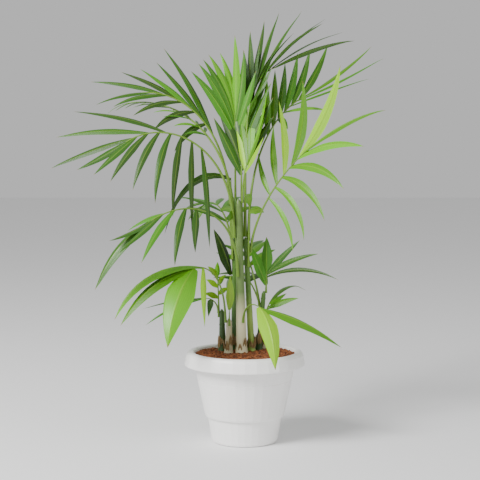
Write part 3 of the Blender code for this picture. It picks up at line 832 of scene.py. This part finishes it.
@dataclass(frozen=True)
class RibShape:
    """How a stalk and rachis is rounded and how its base clasps the cane.

    taper is how much thinner its tip is, flat the height of its upper half, clasp how
    much wider its base is, and along and across where on a blade its tip's colour is.
    """

    sides: int = 8
    rings: int = 30
    taper: float = 0.6
    flat: float = 0.78
    clasp: float = 0.36
    clasp_reach: float = 0.010
    along: float = 0.4
    across: float = 0.5

    def add(self, skin: Skin, frond: Frond, path: list) -> None:
        """Adds the stalk and rachis as one tapering tube.

        Args:
            skin: the mesh it goes into.
            frond: the frond's sizes.
            path: points along its rachis.
        """
        shares = [index / (self.rings - 1) for index in range(self.rings)]
        skin.tube([self.ring(frond, path, share) for share in shares],
                  [(self.along * share, self.across) for share in shares])

    def ring(self, frond: Frond, path: list, share: float) -> list:
        """Ring of points round the rachis.

        Args:
            frond: the frond's sizes.
            path: points along its rachis.
            share: place along it from 0 to 1.

        Returns:
            The points.
        """
        _, side, upper = frond.frame(share)
        middle = vector_at(path, share)
        near = math.exp(-share * frond.length / self.clasp_reach)
        radius = frond.thick * (1.0 - self.taper * share) * (1.0 + self.clasp * near)
        ring = []
        for corner in range(self.sides):
            turn = math.tau * (corner + 0.5) / self.sides
            flat = self.flat if math.sin(turn) > 0.0 else 1.0
            ring.append(middle + side * (math.cos(turn) * radius)
                        + upper * (math.sin(turn) * radius * flat))
        return ring


@dataclass
class Crown:
    """The fronds of the palm, each a piece of its own."""

    canes: dict
    blade: BladeShape = BladeShape()
    rib: RibShape = RibShape()
    mixed: float = 0.28

    NEXT = {Tone.DEEP: Tone.MID, Tone.MID: Tone.FRESH, Tone.FRESH: Tone.LIME,
            Tone.LIME: Tone.FRESH}

    def finishes(self) -> dict:
        """Dresses the leaves and stalks.

        Returns:
            Materials by tone.
        """
        plans = (
            LeafFinish(Tone.DEEP, (0.010, 0.070, 0.001), (0.045, 0.130, 0.010)),
            LeafFinish(Tone.MID, (0.030, 0.160, 0.001), (0.080, 0.220, 0.012)),
            LeafFinish(Tone.FRESH, (0.085, 0.300, 0.001), (0.120, 0.300, 0.008)),
            LeafFinish(Tone.LIME, (0.250, 0.520, 0.002), (0.240, 0.450, 0.010)),
            LeafFinish(Tone.STALK, (0.130, 0.250, 0.020), (0.130, 0.250, 0.020),
                       roughness=0.42, vein=0.1, browned=2.0),
        )
        pattern = LeafPattern().tree()
        return {plan.tone: plan.material(pattern) for plan in plans}

    def grow(self, frond: Frond, materials: dict) -> Object:
        """Builds one frond and puts it in place of its CAD nodes.

        Args:
            frond: the frond's sizes.
            materials: leaf materials by tone.

        Returns:
            The finished piece.
        """
        tones = [Tone.STALK, frond.tone, self.NEXT[frond.tone]]
        chance = random.Random(f"looks {frond.name}")
        skin = Skin()
        path = frond.path(root_of(frond, self.canes[frond.cane]))
        self.rib.add(skin, frond, path)
        for rank, side in ((frond.left, 1), (frond.right, -1)):
            for index in range(rank.count if rank else 0):
                leaflet = grow_leaflet(frond, path, rank, side, index)
                finish = 2 if chance.random() < self.mixed else 1
                self.blade.add(skin, leaflet, finish, chance)
        piece = skin.build(f"looks_{frond.name}", [materials[tone] for tone in tones])
        nodes = [f"{kind}_{frond.name}" for kind in ("frond", "stalk")]
        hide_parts(*[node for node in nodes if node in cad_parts])
        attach(piece, "root")
        return piece

    def build(self) -> None:
        """Builds every frond."""
        materials = self.finishes()
        for frond in FRONDS:
            report(self.grow(frond, materials))


@dataclass(frozen=True)
class Husks:
    """Dry, pointed sheath scales that hug a cane's foot; each pair is least and most."""

    count: int = 7
    stray: float = 0.3
    rise: tuple = (0.0005, 0.008)
    radius_share: float = 0.80
    lean: tuple = (0.03, 0.22)
    length: tuple = (0.010, 0.020)
    width: float = 0.0055
    bend: tuple = (-8.0, 20.0)
    shape: BladeShape = BladeShape(rings=6, thickness=0.0003, wave=0.02)

    def add(self, skin: Skin, cane: Cane, finish: int) -> None:
        """Adds the scales of one cane.

        Args:
            skin: the mesh they go into.
            cane: the cane they hug.
            finish: index of their material.
        """
        chance = random.Random(f"husks {cane.name}")
        for index in range(self.count):
            place = index + chance.uniform(-self.stray, self.stray)
            out = compass(360.0 * place / self.count)
            rise = chance.uniform(*self.rise)
            root = cane.centre(rise) + out * (cane.radius(rise) * self.radius_share)
            forward = (UP + out * chance.uniform(*self.lean)).normalized()
            scale = Leaflet(root, forward, UP.cross(out), chance.uniform(*self.length),
                            self.width, chance.uniform(*self.bend), 0.0)
            self.shape.add(skin, scale, finish, chance)


@dataclass
class Clump:
    """The canes, with ring scars up their length and dry sheaths at their feet.

    inside and blunt are shares of a cane's radius, up its length and at its tip. Above
    plain_to it turns green. Its own colour is darker in a cane lower than short.
    """

    sides: int = 20
    rings: int = 56
    inside: float = 0.985
    blunt: float = 0.35
    scar_every: float = 0.017
    scar_from: float = 0.004
    scar_reach: float = 0.0012
    scar: float = 0.00035
    husks: Husks = Husks()
    green: tuple = (0.075, 0.185, 0.015)
    greened: float = 0.9
    mottled: float = 0.8
    plain_to: float = 0.045
    short: float = 0.1
    darkened: float = 0.72

    def finish(self, cane: Cane) -> Material:
        """Dresses a cane in green, with its own colour low down.

        Args:
            cane: the cane.

        Returns:
            The finished material.
        """
        upper = tuple(blend(pair, self.greened) for pair in zip(cane.color, self.green))
        shade = 1.0 if cane.height > self.short else self.darkened
        return MottledFinish(f"looks_{cane.name}", upper,
                             tuple(self.mottled * value for value in upper),
                             roughness=0.42, scale=160.0, relief=0.0002,
                             low=tuple(shade * value for value in cane.color),
                             low_to=SOIL_Z + self.plain_to).material()

    def ring(self, cane: Cane, height: float) -> list:
        """Ring of points round a cane.

        Args:
            cane: the cane.
            height: height above its foot.

        Returns:
            The points, further out at a scar and drawn in at the tip.
        """
        close = min(1.0, self.blunt + (cane.height - height) / (2.0 * cane.tip_radius))
        scar = self.scar * math.exp(-((height % self.scar_every) / self.scar_reach) ** 2)
        scar *= height > self.scar_from
        radius = (cane.radius(height) * self.inside + scar) * close
        middle = cane.centre(height)
        return [middle + compass(360.0 * side / self.sides) * radius
                for side in range(self.sides)]

    def grow(self, cane: Cane, husk: Material) -> Object:
        """Builds one cane and puts it in place of its CAD node.

        Args:
            cane: the cane's sizes.
            husk: material of the dry sheaths round its foot.

        Returns:
            The finished piece.
        """
        skin = Skin()
        heights = [cane.height * index / (self.rings - 1) for index in range(self.rings)]
        skin.tube([self.ring(cane, height) for height in heights], [(0.0, 0.5)] * self.rings)
        self.husks.add(skin, cane, 1)
        piece = skin.build(f"looks_{cane.name}", [self.finish(cane), husk])
        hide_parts(cane.name)
        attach(piece, "root")
        return piece

    def build(self) -> None:
        """Builds every cane."""
        husk = MottledFinish("looks_husk", (0.210, 0.120, 0.045), (0.330, 0.230, 0.100),
                             roughness=0.8, scale=500.0).material()
        for cane in CANES:
            report(self.grow(cane, husk))


@dataclass
class Soil:
    """Uneven soil with loose, lumpy chips of coir and bark scattered over it."""

    turns: int = 72
    circles: int = 20
    edge: float = 0.003
    lumps: float = 140.0
    chips: int = 2200
    chip_size: float = 0.0024
    chip_sizes: tuple = (0.35, 1.25)
    chip_core: float = 0.75
    chip_lump: float = 0.5
    chip_lumps: float = 1.7
    chip_draw: tuple = (3.1, 0.0, 0.0)
    chip_flat: float = 0.5
    seed: int = 5

    def ring(self, radius: float, height: float) -> list:
        """Ring of points, in low relief on the soil's top.

        Args:
            radius: its radius.
            height: its height.

        Returns:
            The points.
        """
        ring = []
        for turn in range(self.turns):
            angle = math.tau * turn / self.turns
            point = Vector((radius * math.cos(angle), radius * math.sin(angle), height))
            if height == SOIL_Z:
                point.z += SOIL_RELIEF * noise.noise(point * self.lumps)
            ring.append(point)
        return ring

    def bed(self) -> Object:
        """Builds the soil's closed body.

        Returns:
            The bed.
        """
        rows = [(SOIL_BOTTOM_R, SOIL_BOTTOM_Z), (SOIL_R, SOIL_Z - self.edge)]
        rows += [(SOIL_R * (1.0 - step / self.circles), SOIL_Z) for step in
                 range(self.circles)]
        skin = Skin()
        skin.tube([self.ring(*row) for row in rows], [(0.0, 0.0)] * len(rows))
        material = MottledFinish("looks_soil", (0.075, 0.026, 0.010), (0.190, 0.068, 0.024),
                                 roughness=0.95, scale=420.0, relief=0.0010).material()
        return skin.build("looks_soil", [material])

    def chip(self) -> Object:
        """Builds one lumpy chip that the scatter repeats.

        Returns:
            The chip.
        """
        bpy.ops.mesh.primitive_ico_sphere_add(subdivisions=1, radius=1.0)
        item = bpy.context.object
        item.name = "chip"
        for vertex in item.data.vertices:
            drawn = noise.noise(vertex.co * self.chip_lumps + Vector(self.chip_draw))
            vertex.co *= self.chip_core + self.chip_lump * drawn
            vertex.co.z *= self.chip_flat
        return item

    def scatter(self, bed: Object) -> Object:
        """Scatters chips over the top of the bed by Geometry Nodes.

        Args:
            bed: the soil's body.

        Returns:
            The chips, as one plain mesh.
        """
        chip = self.chip()
        material = MottledFinish("looks_chips", (0.090, 0.024, 0.008), (0.360, 0.120, 0.036),
                                 roughness=0.9, scale=260.0, relief=0.0004).material()
        holder = linked("looks_chips", bed.data.copy())
        holder.modifiers.new("scatter", "NODES").node_group = self.tree(chip, material)
        graph = bpy.context.evaluated_depsgraph_get()
        mesh = bpy.data.meshes.new_from_object(holder.evaluated_get(graph))
        holder.modifiers.clear()
        holder.data = mesh
        bpy.data.objects.remove(chip, do_unlink=True)
        return holder

    def tree(self, chip: Object, material: Material) -> NodeTree:
        """Node tree of the scatter.

        Args:
            chip: the object it repeats.
            material: the chips' material.

        Returns:
            The tree.
        """
        tree = bpy.data.node_groups.new("soil_scatter", "GeometryNodeTree")
        for way in ("INPUT", "OUTPUT"):
            tree.interface.new_socket("Geometry", in_out=way,
                                      socket_type="NodeSocketGeometry")
        wire = Wiring(tree)
        bed = tree.nodes.new("NodeGroupInput").outputs[0]
        place = wire.node("GeometryNodeInputPosition").outputs[0]
        height = wire.node("ShaderNodeSeparateXYZ", Vector=place).outputs["Z"]
        on_top = wire.node("FunctionNodeCompare", data_type="FLOAT",
                           operation="GREATER_THAN")
        wire.feed(on_top.inputs[0], height)
        wire.feed(on_top.inputs[1], SOIL_Z - SOIL_RELIEF)
        dots = wire.node("GeometryNodeDistributePointsOnFaces", Mesh=bed,
                         Selection=on_top.outputs[0], Seed=self.seed,
                         Density=self.chips / (math.pi * SOIL_R ** 2))
        turn = wire.node("FunctionNodeRandomValue", data_type="FLOAT_VECTOR",
                         Seed=self.seed + 1)
        turn.inputs[1].default_value = (math.tau, math.tau, math.tau)
        size = wire.node("FunctionNodeRandomValue", data_type="FLOAT", Seed=self.seed + 2)
        size.inputs[2].default_value, size.inputs[3].default_value = self.chip_sizes
        source = wire.node("GeometryNodeObjectInfo", Object=chip)
        many = wire.node("GeometryNodeInstanceOnPoints", Points=dots.outputs["Points"],
                         Instance=source.outputs["Geometry"], Rotation=turn.outputs[0],
                         Scale=wire.math("MULTIPLY", size.outputs[1], self.chip_size))
        real = wire.node("GeometryNodeRealizeInstances", Geometry=many.outputs[0])
        dressed = wire.node("GeometryNodeSetMaterial", Geometry=real.outputs[0],
                            Material=material)
        out = tree.nodes.new("NodeGroupOutput")
        tree.links.new(dressed.outputs[0], out.inputs[0])
        return tree

    def build(self) -> None:
        """Builds the soil and its chips in place of the CAD node."""
        bed = self.bed()
        chips = self.scatter(bed)
        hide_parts("soil")
        for piece in (bed, chips):
            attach(piece, "root")
            report(piece)


@dataclass
class Pot:
    """The plain white pot, in satin plastic."""

    finish: MottledFinish = MottledFinish("looks_pot", (0.95, 0.94, 0.92),
                                          (0.93, 0.92, 0.90), roughness=0.34, scale=26.0,
                                          relief=0.00004)

    def build(self) -> None:
        """Dresses the CAD pot."""
        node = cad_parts["pot"]
        node.data.materials.clear()
        node.data.materials.append(self.finish.material())
        report(node)


@dataclass(frozen=True)
class Lamp:
    """A soft square lamp: where it hangs, its side and its power in watts."""

    name: str
    place: tuple
    side: float
    power: float

    def build(self) -> None:
        """Hangs the lamp and turns it to the plant."""
        data = bpy.data.lights.new(self.name, "AREA")
        data.size = self.side
        data.energy = self.power
        item = linked(self.name, data)
        item.location = self.place
        aim = UP * LAMPS_FACE - Vector(self.place)
        item.rotation_euler = aim.to_track_quat("-Z", "Y").to_euler()


@dataclass
class Studio:
    """Camera, pale floor and soft light."""

    floor_half: float = 6.0
    floor_grey: tuple = (0.88, 0.88, 0.88)
    sky: float = 0.58
    sky_white: tuple = (1.0, 1.0, 1.0, 1.0)
    lamps: tuple = (Lamp("key", (-1.3, -1.2, 1.5), 0.9, 76.0),
                    Lamp("fill", (1.5, -1.0, 0.9), 1.4, 6.0))

    def camera(self) -> None:
        """Places the camera and makes it the scene's."""
        data = bpy.data.cameras.new("camera")
        data.lens = CAMERA_LENS
        data.sensor_width = CAMERA_SENSOR
        item = linked("camera", data)
        item.location = CAMERA_AT
        item.rotation_euler = (math.radians(CAMERA_PITCH), 0.0, 0.0)
        bpy.context.scene.camera = item

    def floor(self) -> None:
        """Lays the floor."""
        half = self.floor_half
        mesh = bpy.data.meshes.new("floor")
        mesh.from_pydata([(-half, -half, 0.0), (half, -half, 0.0), (half, half, 0.0),
                          (-half, half, 0.0)], [], [(0, 1, 2, 3)])
        mesh.materials.append(MottledFinish("floor", self.floor_grey, self.floor_grey,
                                            roughness=0.8, scale=1.0, relief=0.0).material())
        linked("floor", mesh)

    def build(self) -> None:
        """Builds the floor, the light and the camera."""
        self.floor()
        for lamp in self.lamps:
            lamp.build()
        world = bpy.data.worlds.new("studio")
        world.use_nodes = True
        background = world.node_tree.nodes["Background"]
        background.inputs["Color"].default_value = self.sky_white
        background.inputs["Strength"].default_value = self.sky
        bpy.context.scene.world = world
        self.camera()


def main() -> None:
    """Builds the looks in order."""
    logging.basicConfig(level=logging.INFO, format="%(name)s %(message)s")
    Pot().build()
    Soil().build()
    Clump().build()
    Crown({cane.name: cane for cane in CANES}).build()
    Studio().build()


if __name__ == "__main__":
    main()
